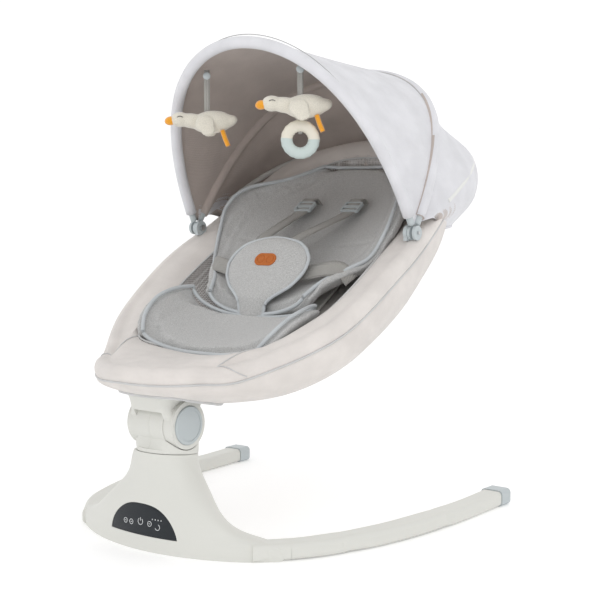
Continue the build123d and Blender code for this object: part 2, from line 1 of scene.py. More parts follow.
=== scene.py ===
"""Baby swing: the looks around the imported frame. Lengths are in millimetres until make_mesh()."""
from math import cos, pi, radians, sin

import bmesh
import bpy
import numpy as np
from mathutils import Matrix, Vector


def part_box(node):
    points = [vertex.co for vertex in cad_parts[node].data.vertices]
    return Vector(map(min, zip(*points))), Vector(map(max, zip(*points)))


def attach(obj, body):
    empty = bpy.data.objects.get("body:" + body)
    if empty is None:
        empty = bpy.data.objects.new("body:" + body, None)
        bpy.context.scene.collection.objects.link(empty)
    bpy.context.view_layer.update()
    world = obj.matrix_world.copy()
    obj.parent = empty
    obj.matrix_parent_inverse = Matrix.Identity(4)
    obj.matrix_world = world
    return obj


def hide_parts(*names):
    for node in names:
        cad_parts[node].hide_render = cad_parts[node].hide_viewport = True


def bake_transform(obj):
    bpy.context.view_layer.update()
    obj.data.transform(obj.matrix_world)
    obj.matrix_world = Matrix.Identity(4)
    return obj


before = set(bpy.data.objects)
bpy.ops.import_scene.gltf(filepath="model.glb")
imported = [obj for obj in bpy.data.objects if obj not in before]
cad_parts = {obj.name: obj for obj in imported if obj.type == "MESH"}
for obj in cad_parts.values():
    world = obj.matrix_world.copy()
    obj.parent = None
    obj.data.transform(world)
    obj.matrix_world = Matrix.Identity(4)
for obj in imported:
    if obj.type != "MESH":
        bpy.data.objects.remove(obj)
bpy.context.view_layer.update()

MM = 0.001

# Heights and widths of the seat ring's centre line, foot end to head end (x, y, z)
RING_HALF = [(0, -85, 250), (46, -71, 248), (90, -35, 249), (127, 16, 253),
             (198, 122, 302), (217, 240, 376), (209, 340, 430), (190, 430, 486),
             (140, 502, 546), (0, 530, 574)]
HINGE_Y, HINGE_Z = 306.0, 437.0
FRONT_LEAN, MID_LEAN, REAR_LEAN = -27.7, 33.5, 63.0


# ---------------------------------------------------------------- materials
def node_graph(name, base, rough, spec=0.4, sheen=0.0):
    """A new material and its parts: one shader with plain values."""
    mat = bpy.data.materials.new(name)
    mat.use_nodes = True
    nodes, links = mat.node_tree.nodes, mat.node_tree.links
    shader = nodes["Principled BSDF"]
    shader.inputs["Base Color"].default_value = (*base, 1)
    shader.inputs["Roughness"].default_value = rough
    shader.inputs["Specular IOR Level"].default_value = spec
    shader.inputs["Sheen Weight"].default_value = sheen
    return mat, nodes, links, shader


def add_bump(nodes, links, shader, height, strength, distance):
    bump = nodes.new("ShaderNodeBump")
    bump.inputs["Strength"].default_value = strength
    bump.inputs["Distance"].default_value = distance
    links.new(height, bump.inputs["Height"])
    links.new(bump.outputs["Normal"], shader.inputs["Normal"])


def noise_of(nodes, links, scale, detail=3.0):
    coords = nodes.new("ShaderNodeTexCoord")
    noise = nodes.new("ShaderNodeTexNoise")
    noise.inputs["Scale"].default_value = scale
    noise.inputs["Detail"].default_value = detail
    links.new(coords.outputs["Object"], noise.inputs["Vector"])
    return noise.outputs["Fac"]


def tint(nodes, links, shader, fac, dark, light):
    ramp = nodes.new("ShaderNodeValToRGB")
    ramp.color_ramp.elements[0].position = 0.35
    ramp.color_ramp.elements[1].position = 0.65
    ramp.color_ramp.elements[0].color = (*dark, 1)
    ramp.color_ramp.elements[1].color = (*light, 1)
    links.new(fac, ramp.inputs["Fac"])
    links.new(ramp.outputs["Color"], shader.inputs["Base Color"])


def plastic(name, base, rough=0.42, grain=900.0):
    """Moulded plastic with a fine spark-eroded grain and slightly uneven gloss."""
    mat, nodes, links, shader = node_graph(name, base, rough)
    fac = noise_of(nodes, links, grain)
    add_bump(nodes, links, shader, fac, 0.12, 0.0003)
    return mat


def weave(name, base, size=1.1, contrast=0.12, sheen=0.25, rough=0.85, depth=0.35, melange=0.0):
    """Woven cloth: two crossed waves make the threads; melange mottles the yarn."""
    mat, nodes, links, shader = node_graph(name, base, rough, 0.2, sheen)
    coords = nodes.new("ShaderNodeTexCoord")
    height = None
    for direction in ("X", "Y", "Z"):
        wave = nodes.new("ShaderNodeTexWave")
        wave.bands_direction = direction
        wave.inputs["Scale"].default_value = 314.0 / size
        wave.inputs["Distortion"].default_value = 0.6
        wave.inputs["Detail"].default_value = 1.0
        links.new(coords.outputs["Object"], wave.inputs["Vector"])
        if height is None:
            height = wave.outputs["Fac"]
        else:
            add = nodes.new("ShaderNodeMath")
            add.operation = "ADD"
            links.new(height, add.inputs[0])
            links.new(wave.outputs["Fac"], add.inputs[1])
            height = add.outputs[0]
    add_bump(nodes, links, shader, height, depth, 0.0004)
    fac = noise_of(nodes, links, 900.0 if melange else 25.0, 4.0)
    swing = melange or contrast * 0.4
    dark = tuple(c * (1 - swing) for c in base)
    light = tuple(min(1.0, c * (1 + swing)) for c in base)
    tint(nodes, links, shader, fac, dark, light)
    return mat


def mesh_cloth(name, base, hole_shade, pitch=3.2):
    """Spacer mesh: rows of small holes in pale cloth; the holes are real, their dark colour is
    painted shade standing for the shadowed cloth seen through them.
    """
    mat, nodes, links, shader = node_graph(name, base, 0.8, 0.2, 0.2)
    coords = nodes.new("ShaderNodeTexCoord")
    cells = nodes.new("ShaderNodeTexVoronoi")
    cells.inputs["Scale"].default_value = 1000.0 / pitch
    cells.inputs["Randomness"].default_value = 0.12
    links.new(coords.outputs["Object"], cells.inputs["Vector"])
    # Painted shade: the dark cell centres are the holes, darkened like the shadowed cover behind
    # them.
    tint(nodes, links, shader, cells.outputs["Distance"], hole_shade, base)
    add_bump(nodes, links, shader, cells.outputs["Distance"], 0.5, 0.0006)
    return mat


def metal(name, base, rough):
    mat, nodes, links, shader = node_graph(name, base, rough)
    shader.inputs["Metallic"].default_value = 1.0
    fac = noise_of(nodes, links, 600.0)
    add_bump(nodes, links, shader, fac, 0.08, 0.0002)
    return mat


def fuzzy(name, base, sheen=0.8):
    mat, nodes, links, shader = node_graph(name, base, 0.95, 0.1, sheen)
    fac = noise_of(nodes, links, 700.0, 6.0)
    add_bump(nodes, links, shader, fac, 0.8, 0.0012)
    tint(nodes, links, shader, fac, tuple(c * 0.86 for c in base), base)
    return mat


SHELL_WHITE = plastic("shell_white", (0.70, 0.70, 0.66), 0.45)
CAP_GREY = plastic("cap_grey", (0.50, 0.545, 0.56), 0.4)
PANEL_DARK = plastic("panel_gloss", (0.007, 0.011, 0.016), 0.12, 60.0)
ICON_WHITE = plastic("icon_white", (0.85, 0.87, 0.88), 0.35)
STEEL = metal("steel", (0.62, 0.62, 0.62), 0.28)
TUBE_WHITE = plastic("powder_coat", (0.78, 0.78, 0.76), 0.35, 1400.0)
RUBBER = plastic("rubber_grey", (0.10, 0.105, 0.11), 0.75)
BOARD = plastic("board_green", (0.03, 0.16, 0.07), 0.5, 200.0)
COPPER = metal("coil_copper", (0.70, 0.32, 0.15), 0.35)
BLACK = plastic("black_plastic", (0.03, 0.03, 0.032), 0.5)
BUCKLE = plastic("buckle_grey", (0.13, 0.135, 0.14), 0.45)
COVER = weave("cover_cloth", (0.74, 0.70, 0.67), 1.2)
COVER_TRIM = weave("cover_piping", (0.60, 0.60, 0.60), 1.6)
PAD = weave("pad_jersey", (0.50, 0.50, 0.495), 1.6, melange=0.22, sheen=0.4)
PAD_PIPING = weave("pad_piping", (0.55, 0.58, 0.60), 1.2)
CANOPY = weave("canopy_cloth", (0.74, 0.74, 0.77), 1.0)
LINING = weave("canopy_lining", (0.52, 0.455, 0.42), 1.2, rough=0.9)
# The dark second colour is painted shade in the mesh holes.
MESH_CLOTH = mesh_cloth("side_mesh", (0.72, 0.71, 0.70), (0.34, 0.31, 0.30))
WEBBING = weave("webbing", (0.38, 0.37, 0.35), 2.2, depth=0.8)
THREAD = weave("stitch_thread", (0.50, 0.50, 0.50), 0.8)
LEATHER = fuzzy("badge_leather", (0.56, 0.17, 0.045), 0.1)
PLUSH = fuzzy("plush_cream", (0.80, 0.76, 0.66))
PLUSH_ORANGE = fuzzy("plush_orange", (0.93, 0.40, 0.03))
SILICONE = plastic("teether_silicone", (0.55, 0.63, 0.61), 0.5)
CREAM_RING = plastic("teether_cream", (0.76, 0.72, 0.62), 0.5)

NODE_LOOKS = {
    SHELL_WHITE: ["base_housing", "neck_shell_left", "neck_shell_right", "left_leg",
                  "right_leg", "seat_bracket"],
    CAP_GREY: ["base_cover", "left_leg_cap", "right_leg_cap", "recline_button_left",
               "recline_button_right", "bush_bridge", "canopy_bosses", "front_bow_hubs",
               "mid_bow_hubs", "strap_slide_left", "strap_slide_right"],
    PANEL_DARK: ["control_panel"],
    STEEL: ["cover_screws", "swing_shaft", "drive_magnet", "hinge_pin", "button_spring_left",
            "button_spring_right", "ring_plugs", "hinge_screws"],
    TUBE_WHITE: ["seat_ring_left", "seat_ring_right", "ring_arm_left", "ring_arm_right",
                 "front_bow", "mid_bow", "rear_bow"],
    RUBBER: ["rubber_feet"],
    BOARD: ["circuit_board"],
    COPPER: ["drive_coil"],
    BLACK: ["speaker", "dc_socket", "shaft_bushes"],
    BUCKLE: ["buckle", "buckle_button"],
    SHELL_WHITE.copy(): ["seat_board"],
}
for look, names in NODE_LOOKS.items():
    for node in names:
        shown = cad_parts[node]
        shown.data.materials.clear()
        shown.data.materials.append(look)


# ---------------------------------------------------------------- mesh helpers
def make_mesh(name, points, faces, looks, body, face_look=None, smooth=True):
    """A new piece from millimetre points; face_look gives each face's material number."""
    data = bpy.data.meshes.new(name)
    data.from_pydata([tuple(MM * c for c in p) for p in points], [], faces)
    for look in looks if isinstance(looks, (list, tuple)) else [looks]:
        data.materials.append(look)
    for i, face in enumerate(data.polygons):
        face.use_smooth = smooth
        if face_look:
            face.material_index = face_look[i]
    data.update()
    piece = bpy.data.objects.new(name, data)
    bpy.context.scene.collection.objects.link(piece)
    tidy = bmesh.new()
    tidy.from_mesh(data)
    bmesh.ops.recalc_face_normals(tidy, faces=tidy.faces)
    tidy.to_mesh(data)
    tidy.free()
    if body:
        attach(piece, body)
    return piece


def apply_modifiers(piece):
    """Bakes the piece's modifiers into its mesh."""
    graph = bpy.context.evaluated_depsgraph_get()
    baked = bpy.data.meshes.new_from_object(piece.evaluated_get(graph))
    piece.modifiers.clear()
    piece.data = baked


def subdivide(piece, levels=1):
    piece.modifiers.new("smooth", "SUBSURF").levels = levels
    apply_modifiers(piece)


def quads(rows, columns, close_rows=False, close_columns=False):
    """Faces of a grid of rows x columns points."""
    faces = []
    for i in range(rows if close_rows else rows - 1):
        for j in range(columns if close_columns else columns - 1):
            a, b = i * columns + j, i * columns + (j + 1) % columns
            c = ((i + 1) % rows) * columns
            faces.append((a, b, c + (j + 1) % columns, c + j))
    return faces


def two_layers(rows, columns):
    """Faces of an upper and a lower grid, and of the edge that joins them."""
    top, size = quads(rows, columns), rows * columns
    bottom = [tuple(size + k for k in reversed(f)) for f in top]
    border = list(range(columns))
    border += [i * columns + columns - 1 for i in range(1, rows)]
    border += [(rows - 1) * columns + j for j in range(columns - 2, -1, -1)]
    border += [i * columns for i in range(rows - 2, 0, -1)]
    edge = [(a, b, b + size, a + size) for a, b in zip(border, border[1:] + border[:1])]
    return top, bottom, edge


def spline(points, count, closed=False):
    """Catmull-Rom curve through the points, sampled evenly by its parameter."""
    pts = [np.array(p, float) for p in points]
    n = len(pts)
    spans = n if closed else n - 1
    line = []
    for k in range(count):
        t = spans * k / (count if closed else count - 1)
        i = min(int(t), spans - 1)
        u = t - i
        if closed:
            p0, p1, p2, p3 = (pts[(i + d) % n] for d in (-1, 0, 1, 2))
        else:
            p1, p2 = pts[i], pts[i + 1]
            p0 = pts[i - 1] if i else 2 * p1 - p2
            p3 = pts[i + 2] if i + 2 < n else 2 * p2 - p1
        line.append(0.5 * (2 * p1 + (p2 - p0) * u + (2 * p0 - 5 * p1 + 4 * p2 - p3) * u ** 2
                           + (3 * p1 - p0 - 3 * p2 + p3) * u ** 3))
    return line


def tube(name, line, radius, look, body, closed=False, sides=10):
    """A round cord of cloth or wire along a line of points."""
    n, points = len(line), []
    for i, p in enumerate(line):
        before = line[(i - 1) % n] if closed or i else line[0]
        after = line[(i + 1) % n] if closed or i < n - 1 else line[-1]
        ahead = Vector(np.array(after) - np.array(before)).normalized()
        helper = Vector((0, 0, 1)) if abs(ahead.z) < 0.9 else Vector((0, 1, 0))
        across = ahead.cross(helper).normalized()
        up = across.cross(ahead)
        for j in range(sides):
            a = 2 * pi * j / sides
            points.append(Vector(p) + radius * (cos(a) * across + sin(a) * up))
    faces = quads(n, sides, close_rows=closed, close_columns=True)
    if not closed:
        faces += [tuple(range(sides))[::-1], tuple((n - 1) * sides + j for j in range(sides))]
    return make_mesh(name, points, faces, look, body)


def ribbon(name, line, width, thick, side, look, body):
    """Flat webbing along a line; side gives the direction of its width."""
    side = Vector(side).normalized()
    points, n = [], len(line)
    for i, p in enumerate(line):
        before, after = line[max(i - 1, 0)], line[min(i + 1, n - 1)]
        ahead = Vector(np.array(after) - np.array(before)).normalized()
        across = (side - side.dot(ahead) * ahead).normalized()
        up = across.cross(ahead)
        for w, t in ((-.5, -.3), (-.46, .5), (-.2, .4), (.2, .4), (.46, .5), (.5, -.3),
                     (.2, -.45), (-.2, -.45)):
            points.append(Vector(p) + width * w * across + thick * t * up)
    faces = quads(n, 8, close_columns=True)
    faces += [tuple(range(8))[::-1], tuple((n - 1) * 8 + j for j in range(8))]
    return make_mesh(name, points, faces, look, body)


# ---------------------------------------------------------------- seat cover
def mirrored(half):
    return half + [(-x, y, z) for x, y, z in reversed(half[1:-1])]


RING_COUNT = 120
RING = spline(mirrored(RING_HALF), RING_COUNT, closed=True)
# Where the collar's inner edge is stitched to the mesh sides
INNER_HALF = [(0, 70, 262), (62, 66, 267), (116, 64, 278), (148, 112, 296), (160, 180, 332),
              (164, 250, 374), (160, 330, 422), (147, 410, 474), (112, 470, 522),
              (60, 494, 548), (0, 499, 555)]
INNER = spline(mirrored(INNER_HALF), RING_COUNT, closed=True)
BELLY_LOW = [(-99, 247), (-88, 234), (-62, 222), (-20, 210), (40, 197), (98, 193), (153, 202),
             (190, 211), (219, 223), (247, 235), (300, 262), (400, 334), (470, 410),
             (510, 468), (534, 528), (544, 572)]
COLLAR_R = 14.2


def low_at(y):
    return float(np.interp(y, [p[0] for p in BELLY_LOW], [p[1] for p in BELLY_LOW]))


def ring_frame(line, i):
    """Outward and upward directions at a point of a closed loop."""
    n = len(line)
    ahead = Vector(line[(i + 1) % n] - line[(i - 1) % n]).normalized()
    out = Vector((ahead.y, -ahead.x, 0)).normalized()
    return out, out.cross(ahead).normalized()


COLLAR_TURNS = [radians(a) for a in (128, 105, 80, 55, 30, 5, -20, -45)]


def collar_row(i):
    """The collar's cross section at one ring sample, inner edge first."""
    out, up = ring_frame(RING, i)
    centre, inner = Vector(RING[i]), Vector(INNER[i])
    first = centre + COLLAR_R * (cos(COLLAR_TURNS[0]) * out + sin(COLLAR_TURNS[0]) * up)
    row = []
    for k in range(6):
        s = k / 6
        puff = 5.0 * sin(pi * s) + 0.5 * sin(pi * s) * sin(i * 1.7 + 2 * s)
        row.append(inner.lerp(first, s) + puff * up)
    return row + [centre + COLLAR_R * (cos(a) * out + sin(a) * up) for a in COLLAR_TURNS]


def collar():
    """Padded band over the ring, from the mesh sides out and down to the belly seam."""
    points = [p for i in range(RING_COUNT) for p in collar_row(i)]
    faces = quads(RING_COUNT, 6 + len(COLLAR_TURNS), close_rows=True)
    piece = make_mesh("collar", points, faces, COVER, "seat")
    shell = piece.modifiers.new("cloth", "SOLIDIFY")
    shell.thickness, shell.offset = 0.0016, -1
    apply_modifiers(piece)
    subdivide(piece)
    return piece


def belly_z(x, y, half, rim):
    share = max(0.0, 1 - (x / half) ** 2)
    return rim - (rim - low_at(y)) * share ** 0.375


HEM_HALF_X, HEM_LOW_Y, HEM_HIGH_Y = 60.0, -50.0, 66.0


def belly():
    """Cloth that hangs under the ring in cross sections from side to side."""
    columns, points = 41, []
    right = RING[:RING_COUNT // 2 + 1]
    for i, p in enumerate(right):
        out, up = ring_frame(RING, i)
        edge = Vector(p) + COLLAR_R * (cos(radians(-40)) * out + sin(radians(-40)) * up)
        half, rim, y = max(edge.x, 0.5), edge.z, edge.y
        for j in range(columns):
            x = -half * cos(pi * j / (columns - 1))
            points.append((x, y, belly_z(x, y, half, rim)))
    piece = make_mesh("belly", points, quads(len(right), columns), COVER, "seat")
    mesh = bmesh.new()
    mesh.from_mesh(piece.data)
    inside = [f for f in mesh.faces if in_hem(*(f.calc_center_median() / MM)[:2])]
    bmesh.ops.delete(mesh, geom=inside, context="FACES")
    bmesh.ops.remove_doubles(mesh, verts=mesh.verts, dist=0.0002)
    mesh.to_mesh(piece.data)
    mesh.free()
    shell = piece.modifiers.new("cloth", "SOLIDIFY")
    shell.thickness, shell.offset = 0.0016, 0
    apply_modifiers(piece)
    subdivide(piece)
    return piece


def in_hem(x, y):
    middle, half_y = (HEM_LOW_Y + HEM_HIGH_Y) / 2, (HEM_HIGH_Y - HEM_LOW_Y) / 2
    return (abs(x) / HEM_HALF_X) ** 4 + (abs(y - middle) / half_y) ** 4 < 1


def ring_width_at(y):
    """Half width and height of the belly's rim at a station."""
    right = [Vector(p) for p in RING[:RING_COUNT // 2 + 1]]
    ys = [p.y for p in right]
    return (float(np.interp(y, ys, [p.x + 11 for p in right])),
            float(np.interp(y, ys, [p.z - 9 for p in right])))


def hem_loop():
    """The cut edge of the belly around the bracket."""
    middle, half_y = (HEM_LOW_Y + HEM_HIGH_Y) / 2, (HEM_HIGH_Y - HEM_LOW_Y) / 2
    line = []
    for k in range(64):
        a = 2 * pi * k / 64
        x = HEM_HALF_X * abs(cos(a)) ** 0.5 * (1 if cos(a) > 0 else -1)
        y = middle + half_y * abs(sin(a)) ** 0.5 * (1 if sin(a) > 0 else -1)
        half, rim = ring_width_at(y)
        line.append((x * 1.03, y, belly_z(x * 1.03, y, half, rim) - 1))
    return line


def liner():
    """Inside of the cover: mesh sides that run down under the cushions."""
    columns, points, looks = 33, [], []
    right = INNER[:RING_COUNT // 2 + 1]
    for i, p in enumerate(right):
        half, y, rim = max(float(p[0]), 0.5), float(p[1]), float(p[2]) - 0.5
        low = max(low_at(y) + 16, rim - 74 * (half / 164) ** 0.5)
        for j in range(columns):
            a = pi * j / (columns - 1)
            points.append((-half * cos(a), y, rim - (rim - low) * sin(a) ** 0.8))
    for _ in range(len(right) - 1):
        for j in range(columns - 1):
            looks.append(0 if min(j, columns - 2 - j) < 9 else 1)
    piece = make_mesh("mesh_sides", points, quads(len(right), columns), [MESH_CLOTH, COVER],
                      "seat", looks)
    shell = piece.modifiers.new("cloth", "SOLIDIFY")
    shell.thickness, shell.offset = 0.0012, 0
    apply_modifiers(piece)
    return piece


def zigzag(line, spread, pitch):
    """A zigzag stitch row along a closed line."""
    stitches, n = [], len(line)
    for i in range(n):
        p = Vector(line[i])
        step = Vector(line[(i + 1) % n]) - p
        count = max(1, int(step.length / pitch))
        across = step.cross(Vector((0, 0, 1))).normalized()
        for k in range(count):
            side = spread if (k + i) % 2 else -spread
            stitches.append(p + step * (k / count) + side * across)
    return stitches


def cover_seams():
    """Piping, seams, hem and stitches of the cover."""
    tube("collar_piping", [Vector(p) + Vector((0, 0, 1.2)) for p in INNER], 1.7, COVER_TRIM,
         "seat", closed=True, sides=8)
    outline = []
    for i in range(RING_COUNT):
        out, up = ring_frame(RING, i)
        a = radians(-38)
        outline.append(Vector(RING[i]) + (COLLAR_R + 0.4) * (cos(a) * out + sin(a) * up))
    tube("belly_seam", outline, 1.5, COVER_TRIM, "seat", closed=True, sides=8)
    tube("bracket_hem", hem_loop(), 3.0, COVER_TRIM, "seat", closed=True)
    stitches = []
    for i in range(RING_COUNT):
        stitches.append(Vector(INNER[i]).lerp(Vector(RING[i]), 0.14) + Vector((0, 0, 2.6)))
    tube("collar_stitch", zigzag(stitches, 1.6, 5.0), 0.45, THREAD, "seat",
         closed=True, sides=5)
    # Seams between the foot panel and the sides cross the collar at a slant
    for side in (-1, 1):
        seam = []
        for k in range(13):
            i = 13 + 7 * k / 12
            row, after = collar_row(int(i)), collar_row(int(i) + 1)
            p = row[k].lerp(after[k], i - int(i))
            seam.append(Vector((side * p.x, p.y, p.z + 0.5)))
        tube(f"foot_panel_seam_{side}", spline(seam, 50), 0.9, COVER_TRIM, "seat",
             sides=6)


cover_collar = collar()
belly()
liner()
cover_seams()
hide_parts("seat_cover")


# ---------------------------------------------------------------- cushions
# Stations: centre (y, z) and edge (x, y, z) of the upper surface
SEAT_STATIONS = [((66, 266), (108, 62, 283)), ((80, 269), (120, 80, 306)),
                 ((105, 275), (128, 112, 328)), ((138, 286), (129, 144, 338)),
                 ((164, 298), (125, 170, 342)), ((184, 310), (120, 190, 342))]
BACK_STATIONS = [((188, 314), (92, 198, 345)), ((222, 334), (106, 226, 366)),
                 ((262, 360), (132, 254, 384)), ((300, 385), (154, 283, 402)),
                 ((345, 414), (165, 308, 440)), ((385, 441), (168, 330, 478)),
                 ((425, 469), (155, 367, 506)), ((460, 502), (112, 428, 522)),
                 ((486, 541), (70, 476, 544))]
PAD_T = 13.0


def smooth_stations(stations):
    return spline([(*centre, *edge) for centre, edge in stations], 81)


def pad_point(stations, s, t, tilt=0.0):
    """Upper surface of a cushion: s from feet to head, t from -1 to 1 across."""
    k = s * (len(stations) - 1)
    i = min(int(k), len(stations) - 2)
    cy, cz, ex, ey, ez = stations[i] + (stations[i + 1] - stations[i]) * (k - i)
    ez -= tilt * (1 if t > 0 else -1)
    bend = 1 - cos(abs(t) * pi / 2) ** 1.15
    x = ex * sin(abs(t) * pi / 2) ** 0.92 * (1 if t > 0 else -1)
    return Vector((x, cy + (ey - cy) * bend, cz + (ez - cz) * bend))


def pad_normal(stations, s, t, tilt):
    e = 0.02
    a = pad_point(stations, min(s + e, 1), t, tilt) - pad_point(stations, max(s - e, 0), t, tilt)
    b = pad_point(stations, s, min(t + e, 1), tilt) - pad_point(stations, s, max(t - e, -1), tilt)
    return b.cross(a).normalized()


def inflate(piece, voxel, cap):
    """Cloth simulation with pressure; no point moves further than the cap."""
    piece.modifiers.new("remesh", "REMESH").voxel_size = voxel
    apply_modifiers(piece)
    before = np.array([v.co for v in piece.data.vertices])
    scene = bpy.context.scene
    cloth = piece.modifiers.new("cloth", "CLOTH")
    cloth.settings.use_pressure = True
    cloth.settings.uniform_pressure_force = 4
    cloth.settings.effector_weights.gravity = 0
    cloth.settings.quality = 4
    cloth.collision_settings.use_collision = False
    for step in range(1, 21):
        scene.frame_set(step)
    apply_modifiers(piece)
    scene.frame_set(1)
    for i, v in enumerate(piece.data.vertices):
        move = np.array(v.co) - before[i]
        far = float(np.linalg.norm(move))
        if far > cap:
            v.co = before[i] + move * cap / far
    for face in piece.data.polygons:
        face.use_smooth = True


def sew(piece, seams, depth, width):
    """Presses sewn channels into a cushion along lines of points."""
    spots = np.array([tuple(p * MM) for seam in seams for p in seam])
    for v in piece.data.vertices:
        away = float(np.min(np.linalg.norm(spots - np.array(v.co), axis=1)))
        if away < 3 * width:
            v.co -= v.normal * depth * np.exp(-(away / width) ** 2)


def cushion(name, stations, node, seams, tilt=0.0, cap=0.006):
    stations = smooth_stations(stations)
    rows, columns, points = 41, 33, []
    for lift in (0.0, -PAD_T):
        for i in range(rows):
            for j in range(columns):
                s, t = i / (rows - 1), 2 * j / (columns - 1) - 1
                rim = max(abs(t), abs(2 * s - 1)) ** 10
                normal = pad_normal(stations, s, t, tilt)
                points.append(pad_point(stations, s, t, tilt)
                              + normal * (lift * (1 - 0.35 * rim) - 0.2 * PAD_T * rim))
    top, bottom, edge = two_layers(rows, columns)
    piece = make_mesh(name, points, top + bottom + edge, PAD, "seat")
    inflate(piece, 0.0045, cap)
    lines = [[pad_point(stations, s, t, tilt) for s, t in seam] for seam in seams]
    sew(piece, lines, 0.0065, 0.0055)
    subdivide(piece)
    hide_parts(node)
    outline = [pad_point(stations, i / 40, 1, tilt) for i in range(41)]
    outline += [pad_point(stations, 1, 1 - i / 20, tilt) for i in range(1, 41)]
    outline += [pad_point(stations, 1 - i / 40, -1, tilt) for i in range(1, 41)]
    outline += [pad_point(stations, 0, -1 + i / 20, tilt) for i in range(1, 40)]
    tube(f"{name}_piping", [p + Vector((0, 0, -2)) for p in outline], 3.1, PAD_PIPING, "seat",
         closed=True)


def seam_line(s_from, t_from, s_to, t_to, count=60):
    return [(s_from + (s_to - s_from) * k / count, t_from + (t_to - t_from) * k / count)
            for k in range(count + 1)]


cushion("seat_cushion", SEAT_STATIONS, "seat_pad",
        [seam_line(0.0, -0.62, 1.0, -0.58), seam_line(0.0, 0.62, 1.0, 0.58)], tilt=9.0)
cushion("back_cushion", BACK_STATIONS, "back_pad",
        [seam_line(0.0, -0.56, 0.5, -0.62), seam_line(0.5, -0.62, 1.0, -0.5),
         seam_line(0.0, 0.56, 0.5, 0.62), seam_line(0.5, 0.62, 1.0, 0.5),
         seam_line(0.47, -0.62, 0.47, 0.62)])


# ---------------------------------------------------------------- harness
SHIELD_AT = Vector((0, 220, 381))
SHIELD_UP, SHIELD_OUT = Vector((0, 0.587, 0.81)), Vector((0, -0.81, 0.587))
# Height up the shield against its half width
SHIELD_SHAPE = [(-92, 24), (-72, 24), (-58, 27), (-46, 40), (-32, 58), (-14, 71), (6, 77),
                (24, 74), (40, 62), (50, 46), (56, 28), (58, 10)]


def shield_point(height, across, out):
    """A point of the shield; its neck turns down steeply to the seat cushion."""
    p = SHIELD_AT + SHIELD_UP * max(height, -56) + SHIELD_OUT * out
    drop = min(height + 56, 0)
    return p + Vector((across, 0.10 * drop, 0.96 * drop))


def shield():
    rows, columns, points = 30, 21, []
    heights = [-92 + 150 * i / (rows - 1) for i in range(rows)]
    widths = np.interp(heights, [p[0] for p in SHIELD_SHAPE], [p[1] for p in SHIELD_SHAPE])
    for sign in (1, -1):
        for height, half in zip(heights, widths):
            for j in range(columns):
                t = 2 * j / (columns - 1) - 1
                ends = max(0.0, 1 - (height / 58.5) ** 6) if height > 0 else 1.0
                puff = 8.0 * (1 - abs(t) ** 3) * ends ** 0.5
                points.append(shield_point(height, half * t, sign * puff - 3))
    top = quads(rows, columns)
    size = rows * columns
    faces = top + [tuple(size + k for k in reversed(f)) for f in top]
    piece = make_mesh("shield", points, faces, PAD, "seat")
    weld = piece.modifiers.new("weld", "WELD")
    weld.merge_threshold = 0.0005
    apply_modifiers(piece)
    subdivide(piece)
    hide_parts("crotch_shield", "crotch_strap")
    outline = [shield_point(h, w, -3) for h, w in zip(heights, widths)]
    outline += [shield_point(h, -w, -3) for h, w in reversed(list(zip(heights, widths)))]
    line = spline([tuple(p) for p in outline[::2]], 120)
    tube("shield_piping", line, 2.6, PAD_PIPING, "seat")


def badge():
    """Leather patch of two joined discs, each with an embossed ring."""
    points, count = [], 28
    for level in (4.4, 6.4):
        for k in range(count):
            a = 2 * pi * k / count
            points.append(shield_point(12 + 11 * sin(a), 9 * (1 if cos(a) >= 0 else -1)
                                       + 11 * cos(a), level))
    faces = [(k, (k + 1) % count, count + (k + 1) % count, count + k) for k in range(count)]
    faces += [tuple(range(count)), tuple(range(count, 2 * count))]
    piece = make_mesh("badge", points, faces, LEATHER, "seat", smooth=False)
    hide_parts("leather_badge")
    for side in (-1, 1):
        ring = [shield_point(12 + 6.5 * sin(2 * pi * k / 24), side * 9 + 6.5 * cos(2 * pi * k / 24),
                             6.5) for k in range(24)]
        tube(f"badge_ring_{side}", ring, 0.8, LEATHER, "seat", closed=True,
             sides=6)


shield()
badge()
for side, name in ((-1, "left"), (1, "right")):
    shoulder = spline([(side * 48, 424, 472), (side * 47.8, 406, 486), (side * 47.5, 388, 473),
                       (side * 47, 372, 462), (side * 42, 325, 447), (side * 34, 268, 429),
                       (side * 32, 252, 421)], 60)
    strap = ribbon(f"shoulder_webbing_{name}", shoulder, 25, 1.8, (1, 0, 0), WEBBING, "seat")
    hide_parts(f"shoulder_strap_{name}")
    waist = spline([(side * 30, 244, 374), (side * 70, 236, 375), (side * 104, 236, 382),
                    (side * 126, 246, 382), (side * 140, 254, 364)], 36)
    strap = ribbon(f"waist_webbing_{name}", waist, 25, 1.8, (0, 0.5, 0.85), WEBBING, "seat")
    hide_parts(f"waist_strap_{name}")
    slot_bound = spline([(side * 48 - 16, 416, 466), (side * 48, 418, 467),
                         (side * 48 + 16, 416, 466)], 12)
    ribbon(f"strap_slot_{name}", slot_bound, 7, 2.0, (0, 0.8, 0.6), PAD_PIPING, "seat")


# ---------------------------------------------------------------- canopy
FRONT_FORM, MID_FORM, REAR_FORM = (217, 0.10, 1.0), (217, 0.25, 1.0), (226, 0.34, 0.62)
TAIL_LEAN, TAIL_FORM, TAIL_REACH = 88, (200, 0.24, 0.5), 235
# Sections from the front bow back: lean, form, reach
FRONT_ROWS = [(FRONT_LEAN, FRONT_FORM, 326), (MID_LEAN, MID_FORM, 314)]
REAR_ROWS = [(MID_LEAN, MID_FORM, 312), (47, (218, 0.27, 0.84), 301),
             (REAR_LEAN, REAR_FORM, 323), (76, (218, 0.34, 0.5), 300),
             (TAIL_LEAN, TAIL_FORM, TAIL_REACH)]
CLOTH_GAP = 3.2


def bow_point(lean, form, reach, t, grow=0.0):
    """A point of a bow's half oval, t from 0 at one hinge to pi at the other."""
    half, bulge, power = form
    a = radians(lean)
    x = -(half + grow) * cos(t) * (1 + bulge * sin(t) ** 2)
    up = (reach + grow) * sin(t) ** power
    return Vector((x, HINGE_Y + up * sin(a), HINGE_Z + up * cos(a)))


